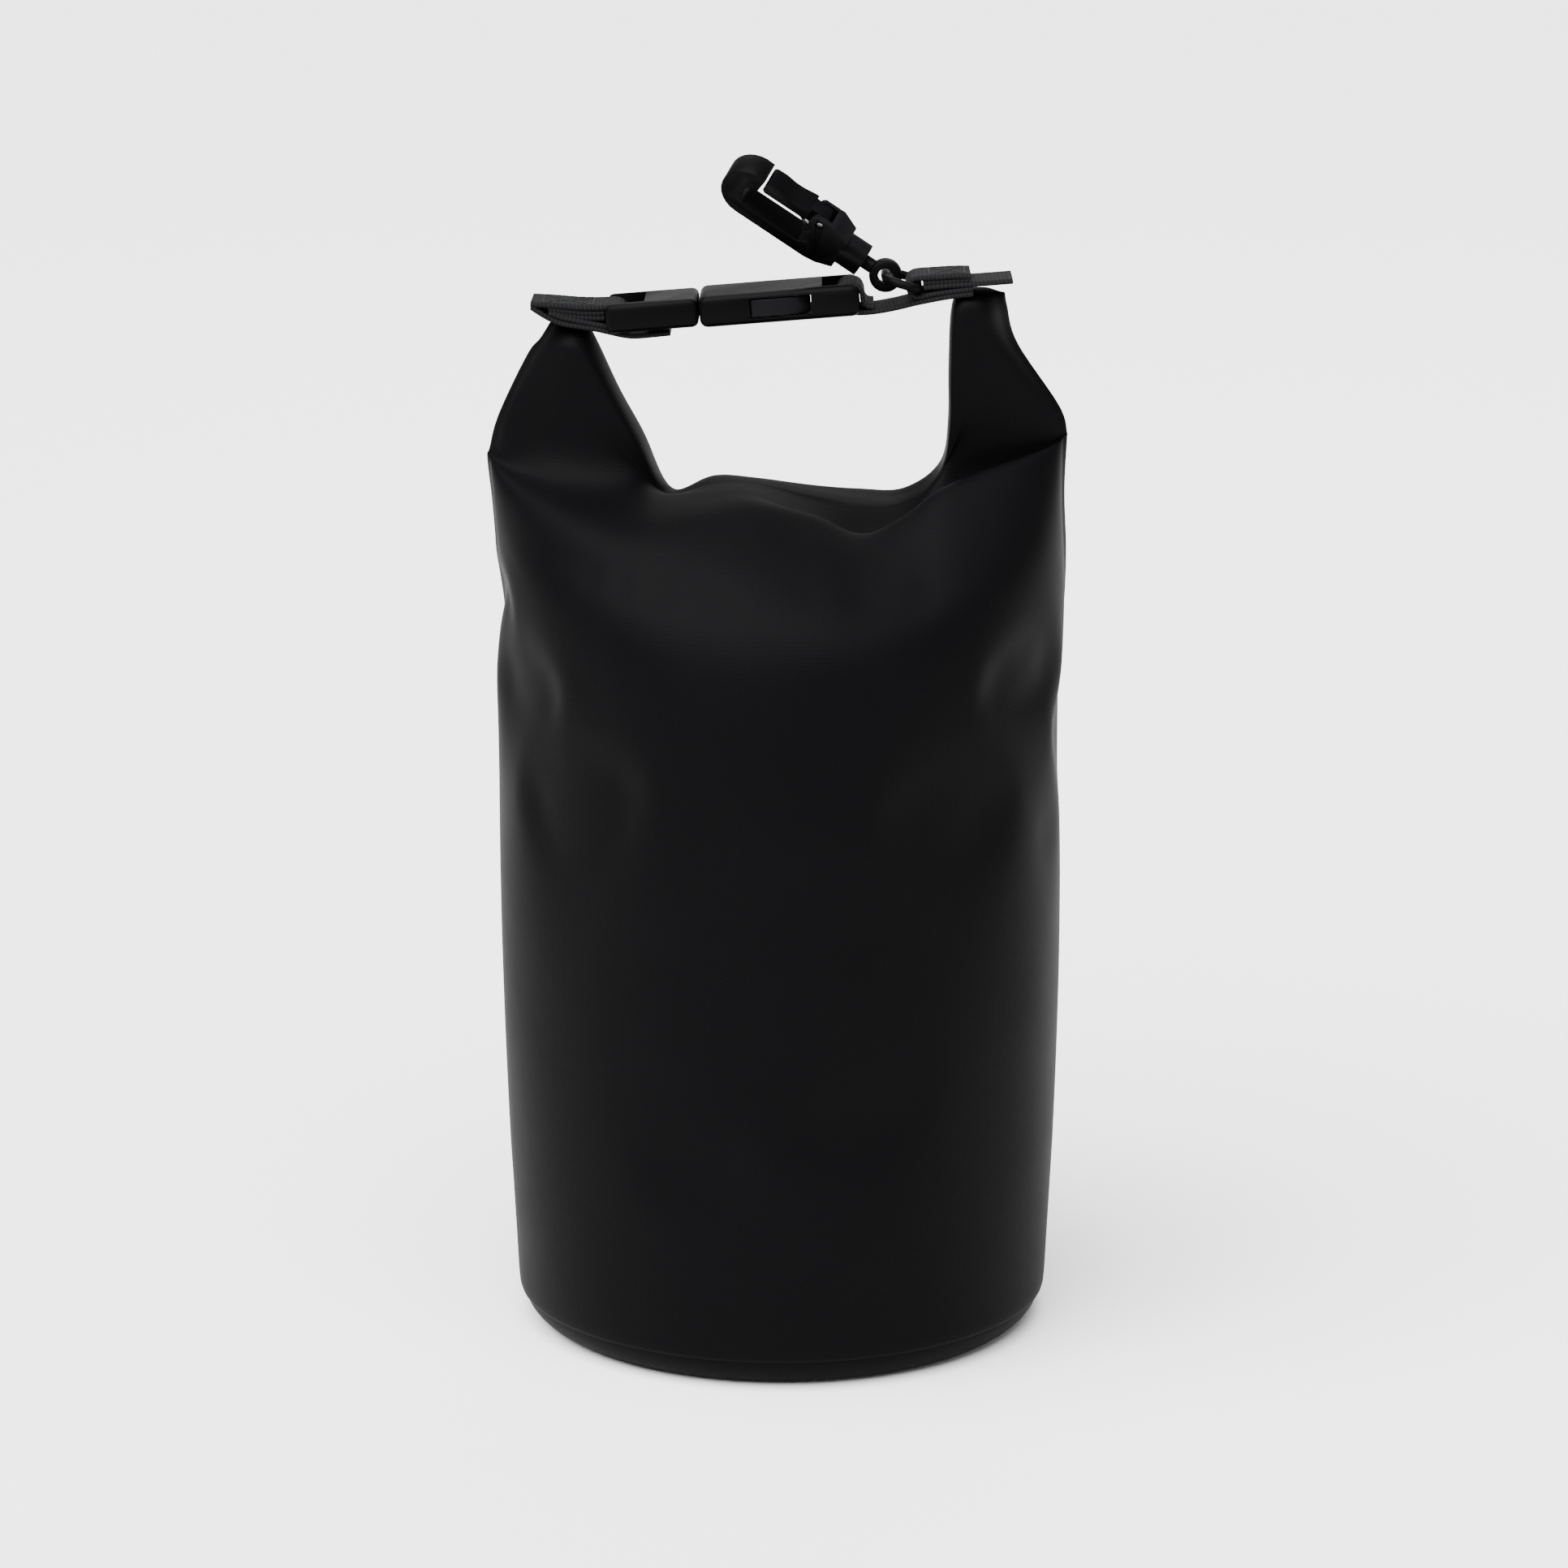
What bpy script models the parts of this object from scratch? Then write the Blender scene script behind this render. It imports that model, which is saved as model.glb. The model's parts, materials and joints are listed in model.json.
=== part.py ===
"""Roll-top rope storage bag with a side-release buckle handle and a swivel snap hook.

Metres, +Z up. The origin is the centre of the underside of the base, +X runs to the
hook end of the handle and +Y points to the back of the bag.
"""
from math import cos, pi, radians, sin, tau

import bmesh
import bpy
from mathutils import Matrix, Vector

# ---------------------------------------------------------------- driving dimensions
MM = 0.001
GAP = 0.3 * MM                  # left between touching pieces

# bag body
WALL = 1.2 * MM                 # tarpaulin, drawn a little thicker than the cloth
BASE_R = 81.4 * MM              # outside of the base's turned-up flange
BASE_CORNER = 11 * MM           # rounding between the base's floor and its flange
FLANGE_TOP = 27 * MM            # how far the flange runs up inside the tube
TUBE_BOTTOM = 9 * MM            # lower edge of the tube, lapped over the flange
TUBE_R_LOW = BASE_R + GAP + WALL
TUBE_R_HIGH = 85.4 * MM
SHOULDER_Z = 205 * MM           # the tube is round up to here
RING_STEPS = 48

# rolled mouth
ROLL_X = (-33 * MM, 46.5 * MM)
ROLL_CENTRE = Vector((0, 19.6 * MM, 247.9 * MM))
ROLL_TILT = radians(-16.7)      # it lies back on the rear slope of the bag
ROLL_TURNS = 3
ROLL_PITCH = 1.25 * MM
ROLL_CLOTH = 0.9 * MM
STRIP_SIZE = (18 * MM, 1.0 * MM)

# handle line: buckle and webbing share one tilted frame
HANDLE_Z = 319.4 * MM
HANDLE_SLOPE = radians(4.5)     # up towards +X
HANDLE_ROLL = radians(-4)       # front edge a little higher than the back edge
HANDLE = (Matrix.Translation((0, 0, HANDLE_Z))
          @ Matrix.Rotation(-HANDLE_SLOPE, 4, 'Y')
          @ Matrix.Rotation(HANDLE_ROLL, 4, 'X'))
WEBBING_W = 25 * MM

# side-release buckle
BUCKLE_W = 34 * MM
BUCKLE_T = 9.5 * MM
MALE_X = (-53 * MM, -25 * MM)
FEMALE_X = (-24.7 * MM, 23.5 * MM)
WINDOW_X = (-9.5 * MM, 9 * MM)
CAVITY_HALF = (14.6 * MM, 2.9 * MM)
END_BAR = 5 * MM
SLOT_HALF_W = 13 * MM

# ring, swivel eye and snap hook
RING_WIRE_R = 1.5 * MM
RING_BAR = Vector((41.2 * MM, 0, 1.8 * MM))     # in the handle's frame
RING_REACH = 10 * MM
RING_HALF_W = 14.4 * MM
RING_LIFT = radians(20)
HOOK_LEAN = radians(52)         # from the ring's normal, in the handle's frame
HOOK_TURN = radians(-38)        # about its own length on the swivel
EYE_R = 5.0 * MM
EYE_T = 7 * MM
COLLAR_R = 5.2 * MM
HOOK_T = 9 * MM
GATE_T = 8.4 * MM
GATE_ROOT_T = 5.4 * MM
GATE_PIVOT = (5.9, 25.2)        # millimetres across and along the hook
PIN_R = 1.0 * MM

# where the left ear is parted, so that its end can move with the buckle
EAR_CUT = Vector((-66 * MM, 0, 286 * MM))


# ---------------------------------------------------------------- scene and helpers
for old in list(bpy.data.objects):
    bpy.data.objects.remove(old, do_unlink=True)

parts = bpy.data.collections.new("rope_storage_bag")
cutters = bpy.data.collections.new("cutters")
bpy.context.scene.collection.children.link(parts)
bpy.context.scene.collection.children.link(cutters)


def material(name, color, roughness, metallic=0.0):
    mat = bpy.data.materials.new(name)
    mat.use_nodes = True
    shader = mat.node_tree.nodes["Principled BSDF"]
    shader.inputs["Base Color"].default_value = (*color, 1)
    shader.inputs["Roughness"].default_value = roughness
    shader.inputs["Metallic"].default_value = metallic
    return mat


TARPAULIN = material("black_tarpaulin", (0.012, 0.012, 0.015), 0.48)
WEBBING = material("black_webbing", (0.016, 0.016, 0.018), 0.75)
ACETAL = material("black_acetal", (0.011, 0.011, 0.013), 0.35)
STIFF_PLASTIC = material("strip_plastic", (0.03, 0.03, 0.03), 0.5)
STEEL = material("spring_steel", (0.5, 0.5, 0.5), 0.3, 1.0)


def place(obj, matrix):
    obj.matrix_world = matrix
    return obj


def from_bmesh(name, bm, mat, matrix=Matrix.Identity(4), collection=parts, smooth=True):
    mesh = bpy.data.meshes.new(name)
    bmesh.ops.recalc_face_normals(bm, faces=bm.faces)
    bm.to_mesh(mesh)
    bm.free()
    obj = bpy.data.objects.new(name, mesh)
    collection.objects.link(obj)
    if mat:
        mesh.materials.append(mat)
    if smooth:
        mesh.shade_smooth()
        mesh.set_sharp_from_angle(angle=radians(35))
    return place(obj, matrix)


def box(name, low, high, mat=None, matrix=Matrix.Identity(4), collection=parts):
    """Box between two corners, in the frame that matrix gives."""
    low, high = Vector(low), Vector(high)
    bm = bmesh.new()
    bmesh.ops.create_cube(bm, size=1)
    bmesh.ops.scale(bm, vec=high - low, verts=bm.verts)
    bmesh.ops.translate(bm, vec=(low + high) / 2, verts=bm.verts)
    return from_bmesh(name, bm, mat, matrix, collection, smooth=False)


def cylinder(name, radius, length, mat=None, matrix=Matrix.Identity(4), collection=parts, sides=24):
    """Cylinder along local Z, centred on its frame's origin."""
    bm = bmesh.new()
    bmesh.ops.create_cone(bm, cap_ends=True, segments=sides, radius1=radius, radius2=radius,
                          depth=length)
    return from_bmesh(name, bm, mat, matrix, collection)


def bevel(obj, width, segments=2, angle=radians(40)):
    mod = obj.modifiers.new("bevel", 'BEVEL')
    mod.width = width
    mod.segments = segments
    mod.limit_method = 'ANGLE'
    mod.angle_limit = angle
    return obj


def cut(obj, cutter):
    cutter.hide_render = True
    cutter.display_type = 'WIRE'
    mod = obj.modifiers.new("cut", 'BOOLEAN')
    mod.operation = 'DIFFERENCE'
    mod.solver = 'EXACT'
    mod.object = cutter
    return obj


def join(obj, other):
    cut(obj, other)
    obj.modifiers[-1].name = "join"
    obj.modifiers[-1].operation = 'UNION'
    return obj


def cut_box(obj, name, low, high, matrix):
    return cut(obj, box(name, low, high, matrix=matrix, collection=cutters))


def curve_mesh(curve, name, mat, matrix, collection=parts):
    """Turn a curve data-block into a welded mesh object."""
    guide = bpy.data.objects.new(name + "_curve", curve)
    cutters.objects.link(guide)
    evaluated = guide.evaluated_get(bpy.context.evaluated_depsgraph_get())
    mesh = bpy.data.meshes.new_from_object(evaluated)
    bpy.data.objects.remove(guide, do_unlink=True)
    bm = bmesh.new()
    bm.from_mesh(mesh)
    bpy.data.meshes.remove(mesh)
    bmesh.ops.remove_doubles(bm, verts=bm.verts, dist=1e-6)
    return from_bmesh(name, bm, mat, matrix, collection)


def add_spline(curve, points, cyclic=True):
    spline = curve.splines.new('POLY')
    spline.points.add(len(points) - 1)
    for point, co in zip(spline.points, points):
        point.co = (*co, 0, 1) if len(co) == 2 else (*co, 1)
    spline.use_cyclic_u = cyclic


def plate(name, outlines, thickness, mat=None, matrix=Matrix.Identity(4), collection=parts):
    """Flat outline, with any holes after it, in local XY and centred on local Z."""
    curve = bpy.data.curves.new(name, 'CURVE')
    curve.dimensions = '2D'
    curve.fill_mode = 'BOTH'
    curve.extrude = thickness / 2
    for points in outlines:
        add_spline(curve, points)
    return curve_mesh(curve, name, mat, matrix, collection)


def millimetres(points):
    return [tuple(value * MM for value in point) for point in points]


def arc(cx, cy, radius, start, end, steps):
    """Points of an arc in millimetres, angles in degrees."""
    turn = [radians(start + (end - start) * i / steps) for i in range(steps + 1)]
    return [(cx + radius * cos(a), cy + radius * sin(a)) for a in turn]


def loft(name, rings, mat, close_start=False, close_end=False, cyclic=True):
    """Skin through rings of equal length; an open strip when it isn't cyclic."""
    bm = bmesh.new()
    rows = [[bm.verts.new(co) for co in ring] for ring in rings]
    count = len(rows[0])
    last = count if cyclic else count - 1
    for low, high in zip(rows, rows[1:]):
        for i in range(last):
            j = (i + 1) % count
            bm.faces.new((low[i], low[j], high[j], high[i]))
    if close_start:
        bm.faces.new(rows[0])
    if close_end:
        bm.faces.new(rows[-1])
    return from_bmesh(name, bm, mat)


def solidify(obj, thickness, offset):
    mod = obj.modifiers.new("wall", 'SOLIDIFY')
    mod.thickness = thickness
    mod.offset = offset
    return obj


# ---------------------------------------------------------------- bag body
def tube_radius(z):
    """Outer radius of the filled tube, slightly fuller towards the top."""
    rise = min(1, max(0, (z - TUBE_BOTTOM) / (150 * MM - TUBE_BOTTOM)))
    return TUBE_R_LOW + (TUBE_R_HIGH - TUBE_R_LOW) * sin(rise * pi / 2)


def body_panel():
    """The welded tube: round below, drawn in to a flat-topped shoulder above."""
    heights = [TUBE_BOTTOM, 25 * MM, 60 * MM, 100 * MM, 150 * MM, SHOULDER_Z]
    sections = [(z, tube_radius(z), -tube_radius(z), tube_radius(z)) for z in heights]
    # height, half width, front and back of the section
    sections += [tuple(v * MM for v in row) for row in (
        (215, 85.6, -83, 79), (225, 85.8, -79, 68), (233, 85.6, -72.5, 50),
        (239, 84.6, -65, 31), (244, 82, -56, 14), (248, 75, -46, 2.5), (250.6, 58, -34, -4))]
    rings = []
    for z, half, front, back in sections:
        middle, depth = (front + back) / 2, (back - front) / 2
        rings.append([(half * cos(tau * i / RING_STEPS), middle + depth * sin(tau * i / RING_STEPS), z)
                      for i in range(RING_STEPS)])
    obj = loft("body_panel", rings, TARPAULIN, close_end=True)
    return solidify(obj, WALL, -1)


def base_disc():
    """Round base with a rounded corner and a flange that runs up inside the tube."""
    corner = [(BASE_R - BASE_CORNER + BASE_CORNER * cos(a), BASE_CORNER - BASE_CORNER * sin(a))
              for a in (pi / 2 * i / 8 for i in range(9))]
    profile = [(BASE_R, FLANGE_TOP)] + corner + [(0, 0)]
    bm = bmesh.new()
    verts = [bm.verts.new((r, 0, z)) for r, z in profile]
    for a, b in zip(verts, verts[1:]):
        bm.edges.new((a, b))
    mesh = bpy.data.meshes.new("base_disc")
    bm.to_mesh(mesh)
    bm.free()
    obj = bpy.data.objects.new("base_disc", mesh)
    parts.objects.link(obj)
    mesh.materials.append(TARPAULIN)
    turn = obj.modifiers.new("turn", 'SCREW')
    turn.steps = turn.render_steps = RING_STEPS
    turn.use_merge_vertices = True
    turn.merge_threshold = 1e-5
    return solidify(obj, WALL, -1)


def back_seam_tape():
    """Tape welded over the tube's upright seam at the back."""
    half_angle = radians(7.5)
    heights = [30 * MM, 60 * MM, 100 * MM, 150 * MM, 203 * MM]
    rows = []
    for z in heights:
        r = tube_radius(z) + GAP
        rows.append([(r * cos(a), r * sin(a), z)
                     for a in (pi / 2 + half_angle * (1 - i / 3) for i in range(7))])
    obj = loft("back_seam_tape", rows, TARPAULIN, cyclic=False)
    outward = obj.data.polygons[0].normal.y > 0
    return solidify(obj, 0.7 * MM, 1 if outward else -1)


# ---------------------------------------------------------------- rolled mouth
def roll_frame():
    """Local X across the roll, local Y through its thickness, local Z along the bag's +X."""
    across = Matrix.Rotation(ROLL_TILT, 3, 'X') @ Vector((0, 1, 0))
    through = Matrix.Rotation(ROLL_TILT, 3, 'X') @ Vector((0, 0, 1))
    along = Vector((1, 0, 0))
    turn = Matrix((across, through, along)).transposed().to_4x4()
    middle = Vector(((ROLL_X[0] + ROLL_X[1]) / 2, ROLL_CENTRE.y, ROLL_CENTRE.z))
    return Matrix.Translation(middle) @ turn


def roll_top():
    """The mouth of the tube rolled down round its stiffening strip."""
    straight = STRIP_SIZE[0] / 2 - 0.2 * MM
    start = STRIP_SIZE[1] / 2 + GAP + ROLL_CLOTH / 2
    points = [(-straight + 2 * MM, start)]
    for step in range(ROLL_TURNS * 12 + 1):
        angle = pi / 2 - tau * step / 12
        reach = start + ROLL_PITCH * step / 12
        side = straight if cos(angle) > 0.01 else -straight
        if abs(cos(angle)) < 0.01:
            leaving = -straight if sin(angle) > 0 else straight
            arriving = -leaving
            if step:
                points.append((leaving, reach * sin(angle)))
            if step < ROLL_TURNS * 12:
                points.append((arriving, reach * sin(angle)))
        else:
            points.append((side + reach * cos(angle), reach * sin(angle)))
    curve = bpy.data.curves.new("roll_top", 'CURVE')
    curve.dimensions = '2D'
    curve.fill_mode = 'NONE'
    curve.extrude = (ROLL_X[1] - ROLL_X[0]) / 2
    add_spline(curve, points, cyclic=False)
    obj = curve_mesh(curve, "roll_top", TARPAULIN, roll_frame())
    return solidify(obj, ROLL_CLOTH, 0)


def mouth_stiffener():
    length = ROLL_X[1] - ROLL_X[0] - 1 * MM
    half = Vector((STRIP_SIZE[0] / 2 - 0.6 * MM, STRIP_SIZE[1] / 2 - 0.1 * MM, length / 2))
    return bevel(box("mouth_stiffener", -half, half, STIFF_PLASTIC, roll_frame()), 0.2 * MM, 1)


# ---------------------------------------------------------------- ears
def ear_ring(z, x0, x1, y0, y1):
    """Rounded rectangle at one height."""
    radius = 0.32 * min(x1 - x0, y1 - y0)
    corners = ((x1 - radius, y1 - radius, 0), (x0 + radius, y1 - radius, 90),
               (x0 + radius, y0 + radius, 180), (x1 - radius, y0 + radius, 270))
    ring = []
    for cx, cy, start in corners:
        ring += [(x * MM, y * MM, z * MM) for x, y in arc(cx, cy, radius, start, start + 90, 4)]
    return ring


# height, left, right, front and back, in millimetres
RIGHT_EAR = ((251.4, 47.5, 83, -24, 21), (262, 48.6, 86.4, -22, 20), (270, 49.6, 86.6, -19, 18),
             (278, 50, 84.6, -17, 16), (290, 50, 79, -15, 15), (306, 50, 69, -13, 13),
             (319.6, 50, 67.8, -12.5, 12.5))
LEFT_EAR = ((251.4, -84, -34.2, -24, 21), (262, -87.4, -35.6, -22, 20), (270, -87.4, -39.2, -19, 18),
            (278, -85.5, -43, -17, 16), (288, -80.5, -48, -15, 15), (299, -77.5, -53.2, -13, 13),
            (311.6, -68.4, -58.2, -12.5, 12.5))


def right_ear():
    return loft("right_ear", [ear_ring(*row) for row in RIGHT_EAR], TARPAULIN, True, True)


def left_ear():
    """Parted along the buckle's line of travel, so that the end can slide off the root."""
    normal = HANDLE.to_3x3() @ Vector((0, 0, 1))
    normal = Vector((normal.x, 0, normal.z)).normalized()
    for name, side in (("left_ear_root", 1), ("left_ear_end", -1)):
        obj = loft(name, [ear_ring(*row) for row in LEFT_EAR], TARPAULIN, True, True)
        bm = bmesh.new()
        bm.from_mesh(obj.data)
        point = EAR_CUT - normal * side * GAP / 2
        cut_edge = bmesh.ops.bisect_plane(bm, geom=bm.verts[:] + bm.edges[:] + bm.faces[:],
                                          plane_co=point, plane_no=normal,
                                          clear_outer=side > 0, clear_inner=side < 0)
        edges = [item for item in cut_edge["geom_cut"] if isinstance(item, bmesh.types.BMEdge)]
        bmesh.ops.edgeloop_fill(bm, edges=edges)
        bmesh.ops.recalc_face_normals(bm, faces=bm.faces)
        bm.to_mesh(obj.data)
        bm.free()


# ---------------------------------------------------------------- webbing
def webbing_frame():
    """Local X along the handle, local Y up, local Z across the webbing."""
    return HANDLE @ Matrix.Rotation(pi / 2, 4, 'X')


def left_webbing():
    """Stitched webbing end: a wing over the ear, a loop round the buckle's bar, a tail below."""
    outline = millimetres([
        (-46.7, -4.9), (-34.2, -4.9), (-33.4, -6), (-34.2, -7.1), (-44.5, -7.3), (-48.4, -6.4),
        (-51.5, -4.6), (-56, -2.9), (-61, -1.8), (-66.4, -0.6), (-70.5, 1.8), (-75.4, 5.4),
        (-75.6, 6.6), (-66, 5.3), (-57, 4.3), (-50, 3.9), (-47.6, 3.4), (-46.7, 2.2)])
    hole = millimetres([(-53.4, -2.4), (-48.1, -2.4), (-48.1, 2.4), (-53.4, 2.4)])
    return plate("left_webbing", [outline, hole], WEBBING_W, WEBBING, webbing_frame())


def right_webbing():
    """Stitched tab that holds the ring, its tail, and the strap that holds the buckle."""
    ring_x, ring_z = RING_BAR.x / MM, RING_BAR.z / MM
    outline = millimetres(
        arc(19.9, -1.4, 3.3, 180, 255, 3) + [(27, -5.1), (34, -4.5), (41, -3.4), (50, -2.3), (58.4, -2),
                                            (60.6, 0.6), (69.4, 0.9)]
        + arc(69.6, 1.6, 0.7, -70, 70, 3) + [(61, 2.4), (57.4, 4.9)]
        + arc(ring_x, ring_z, 3.5, 90, 200, 6) + [(38.2, -1.7), (34, -2.8), (28, -3.4), (25.4, -1.8)]
        + arc(21.9, 1.6, 3.2, 0, 90, 3) + arc(19.9, 1.5, 3.3, 90, 180, 3))
    ring_hole = millimetres(arc(ring_x, ring_z, 2.0, 0, 345, 23))
    bar_hole = millimetres([(18.2, -2.8), (23.8, -2.8), (23.8, 2.8), (18.2, 2.8)])
    return plate("right_webbing", [outline, ring_hole, bar_hole], WEBBING_W, WEBBING, webbing_frame())


# ---------------------------------------------------------------- buckle
def end_bar_cuts(obj, name, bar, slot, reach):
    """Webbing slot, and the bar beside it thinned so that the webbing can wrap it."""
    cut_box(obj, name + "_slot", (min(slot), -SLOT_HALF_W, -9 * MM), (max(slot), SLOT_HALF_W, 9 * MM),
            HANDLE)
    for side in (-1, 1):
        z = sorted((side * reach, side * 9 * MM))
        cut_box(obj, "%s_relief_%d" % (name, side), (min(bar), -SLOT_HALF_W, z[0]),
                (max(bar), SLOT_HALF_W, z[1]), HANDLE)


def buckle_female_shell():
    half_w, half_t = BUCKLE_W / 2, BUCKLE_T / 2
    obj = box("buckle_female_shell", (FEMALE_X[0], -half_w, -half_t), (FEMALE_X[1], half_w, half_t),
              ACETAL, HANDLE)
    bevel(obj, 2.3 * MM, 3)
    inner_w, inner_t = CAVITY_HALF
    cut_box(obj, "cavity", (FEMALE_X[0] - 1 * MM, -inner_w, -inner_t), (10 * MM, inner_w, inner_t), HANDLE)
    cut_box(obj, "windows", (WINDOW_X[0], -half_w - 1 * MM, -inner_t),
            (WINDOW_X[1], half_w + 1 * MM, inner_t), HANDLE)
    bar_start = FEMALE_X[1] - END_BAR
    end_bar_cuts(obj, "female", (bar_start - 2 * MM, FEMALE_X[1] + 1 * MM),
                 (12.5 * MM, bar_start), 2.5 * MM)
    return obj


def buckle_male_frame():
    half_w, half_t = BUCKLE_W / 2 - 0.5 * MM, BUCKLE_T / 2 - 0.35 * MM
    obj = box("buckle_male_frame", (MALE_X[0], -half_w, -half_t), (MALE_X[1], half_w, half_t),
              ACETAL, HANDLE)
    bevel(obj, 2.1 * MM, 3)
    bar_end = MALE_X[0] + END_BAR - 0.5 * MM
    end_bar_cuts(obj, "male", (MALE_X[0] - 1 * MM, bar_end + 1 * MM), (bar_end, -41 * MM), 2.1 * MM)
    rib = box("guide_rib", (MALE_X[1] - 1 * MM, -2 * MM, -2.4 * MM), (6 * MM, 2 * MM, 2.4 * MM),
              matrix=HANDLE, collection=cutters)
    return join(obj, rib)


def buckle_arm(name, side):
    """Spring arm whose lobe catches in the shell's window; side is +1 for the back arm."""
    outline = ([(-24.6, 9), (-24.6, 12.6), (-9.2, 12.6), (-9.2, 16)] + arc(-7.9, 16, 1.3, 180, 90, 3)
               + [(0.5, 17.2), (4.5, 16.2), (7.2, 14.2)] + arc(7.2, 12.6, 1.4, 60, -60, 4)
               + [(2, 10.1), (-9, 9.4)])
    points = millimetres([(x, side * y) for x, y in outline])
    return bevel(plate(name, [points], 5 * MM, ACETAL, HANDLE), 0.5 * MM, 2)


# ---------------------------------------------------------------- ring and snap hook
RING = HANDLE @ Matrix.Translation(RING_BAR) @ Matrix.Rotation(RING_LIFT, 4, 'Y')
EYE_PLACE = RING @ Vector((-RING_REACH, 0, 0))
EYE = Matrix.Translation(EYE_PLACE) @ (HANDLE @ Matrix.Rotation(-HOOK_LEAN, 4, 'Y')).to_3x3().to_4x4()
HOOK = EYE @ Matrix.Rotation(HOOK_TURN, 4, 'Z')


def d_ring():
    """Wire ring: one long side in the webbing, the other rounded into a D."""
    reach, half = RING_REACH / MM, RING_HALF_W / MM
    path = (arc(-1.8, half - 1.8, 1.8, 0, 90, 4) + arc(-reach + 6, half - 6, 6, 90, 180, 7)
            + arc(-reach + 6, 6 - half, 6, 180, 270, 7) + arc(-1.8, 1.8 - half, 1.8, 270, 360, 4))
    path = [(x, y, 0) for x, y in path]
    curve = bpy.data.curves.new("d_ring", 'CURVE')
    curve.dimensions = '3D'
    curve.bevel_depth = RING_WIRE_R
    curve.bevel_resolution = 2
    add_spline(curve, millimetres(path))
    return curve_mesh(curve, "d_ring", ACETAL, RING)


def swivel_eye():
    """Eye that hangs on the ring, with a headed stem that turns in the hook's collar."""
    side_on = EYE @ Matrix.Rotation(pi / 2, 4, 'X')
    obj = cylinder("swivel_eye", EYE_R, EYE_T, ACETAL, side_on, sides=32)
    bevel(obj, 1.2 * MM, 2)
    stem = cylinder("stem", 2.2 * MM, 11 * MM, matrix=EYE @ Matrix.Translation((0, 0, 9.5 * MM)),
                    collection=cutters)
    head = cylinder("stem_head", 3.4 * MM, 2 * MM, matrix=EYE @ Matrix.Translation((0, 0, 14 * MM)),
                    collection=cutters)
    join(obj, stem)
    join(obj, head)
    hole = cylinder("eye_hole", 2.3 * MM, EYE_T + 2 * MM, matrix=side_on, collection=cutters)
    return cut(obj, hole)


def hook_face():
    """Local X across the hook towards the gate, local Y along it, local Z through it."""
    return HOOK @ Matrix.Rotation(pi / 2, 4, 'X')


def gate_bore(name, obj, length):
    """Hole for the gate's pin."""
    x, along = GATE_PIVOT
    at = HOOK @ Matrix.Translation((x * MM, 0, along * MM)) @ Matrix.Rotation(pi / 2, 4, 'X')
    return cut(obj, cylinder(name, PIN_R + GAP, length, matrix=at, collection=cutters))


def hook_body():
    """Collar, forked shoulder, spine and the nose that closes over the gate's tip."""
    outline = ([(-5.4, 15), (5.4, 15), (8.4, 20.5), (8.4, 27.4), (7.4, 28.4), (3.8, 28.4), (2.4, 26.4),
                (0.4, 25.2), (-2.2, 25.4), (-4.1, 28)]
               + arc(0.05, 46, 4.15, 180, 30, 8) + [(3.7, 46.4), (8.8, 46.1)]
               + arc(0.4, 48.4, 8.5, -10, 180, 14) + [(-8.2, 38), (-8.2, 24), (-7.6, 20)])
    obj = plate("hook_body", [millimetres(outline)], HOOK_T, ACETAL, hook_face())
    bevel(obj, 1.2 * MM, 2)
    collar = cylinder("collar", COLLAR_R, 8 * MM, matrix=HOOK @ Matrix.Translation((0, 0, 12 * MM)),
                      collection=cutters)
    join(obj, collar)
    bore = cylinder("collar_bore", 2.6 * MM, 8 * MM, matrix=HOOK @ Matrix.Translation((0, 0, 9.5 * MM)),
                    collection=cutters)
    room = cylinder("head_room", 3.8 * MM, 2.8 * MM, matrix=HOOK @ Matrix.Translation((0, 0, 14 * MM)),
                    collection=cutters)
    cut(obj, bore)
    cut(obj, room)
    gate_bore("pin_seat", obj, HOOK_T + 2 * MM)
    fork = GATE_ROOT_T / 2 + GAP
    return cut_box(obj, "fork", (2.6 * MM, -fork, 22.4 * MM), (10 * MM, fork, 30 * MM), HOOK)


def hook_gate():
    """Gate that swings in towards the spine; its root is thinned to sit in the fork."""
    x, along = GATE_PIVOT
    outline = (arc(x, along, 2.4, 180, 360, 8) + [(8.3, 29.4), (8.3, 31), (7.7, 35), (7.7, 38), (8.3, 41.6),
                                                 (8.2, 44.6), (7.4, 45.4), (5.2, 45.4), (4.4, 44.6),
                                                 (4.4, 29)])
    obj = bevel(plate("hook_gate", [millimetres(outline)], GATE_T, ACETAL, hook_face()), 0.6 * MM, 2)
    for side in (-1, 1):
        y = sorted((side * GATE_ROOT_T / 2, side * GATE_T))
        cut_box(obj, "root_%d" % side, (2 * MM, y[0], 20 * MM), (10 * MM, y[1], 29.8 * MM), HOOK)
    return gate_bore("gate_bore", obj, GATE_T + 2 * MM)


def gate_pin():
    x, along = GATE_PIVOT
    at = HOOK @ Matrix.Translation((x * MM, 0, along * MM)) @ Matrix.Rotation(pi / 2, 4, 'X')
    return bevel(cylinder("gate_pin", PIN_R, HOOK_T - 0.4 * MM, STEEL, at, sides=16), 0.2 * MM, 1)


def gate_spring():
    """Bent leaf that stands on the hook's floor and leans on the gate."""
    curve = bpy.data.curves.new("gate_spring", 'CURVE')
    curve.dimensions = '2D'
    curve.fill_mode = 'NONE'
    curve.extrude = 2 * MM
    path = [(-3.0, 28.6), (-2.2, 26.6), (-0.6, 25.9), (0.9, 26.4), (2.2, 28.6), (3.2, 31.6), (3.8, 34.8)]
    add_spline(curve, millimetres(path), cyclic=False)
    return solidify(curve_mesh(curve, "gate_spring", STEEL, hook_face()), 0.5 * MM, 0)


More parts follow.
